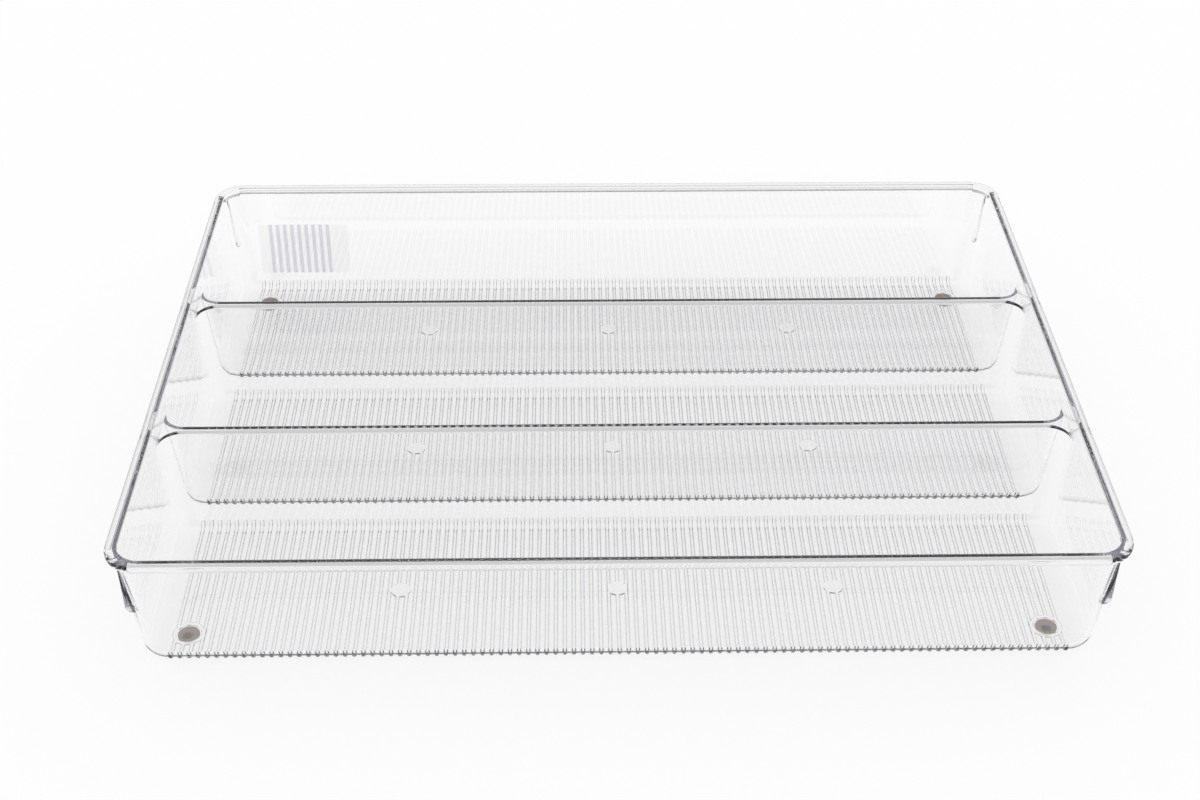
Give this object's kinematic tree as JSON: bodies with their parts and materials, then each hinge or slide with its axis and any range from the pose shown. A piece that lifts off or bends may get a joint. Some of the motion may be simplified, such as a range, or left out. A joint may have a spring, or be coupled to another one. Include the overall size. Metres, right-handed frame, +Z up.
{
  "type": "cutlery drawer organizer",
  "caption": "Clear moulded drawer organizer with long open compartments, a flanged rim, hollow dividers, a ribbed base and stick-on feet.",
  "frame": {"origin": "centre of the bounding box on the surface that the feet stand on", "axes": "+X along the compartments, +Y from the front compartment to the rear one, +Z up"},
  "size_m": [0.3574, 0.2646, 0.0541],
  "materials": {
    "clear_plastic": "polished clear moulding",
    "soft_polyurethane": "smooth, slightly tacky"
  },
  "bodies": {
    "root": {"tray": "clear_plastic", "foot_front_left": "soft_polyurethane", "foot_front_right": "soft_polyurethane", "foot_rear_left": "soft_polyurethane", "foot_rear_right": "soft_polyurethane"}
  },
  "joints": []
}
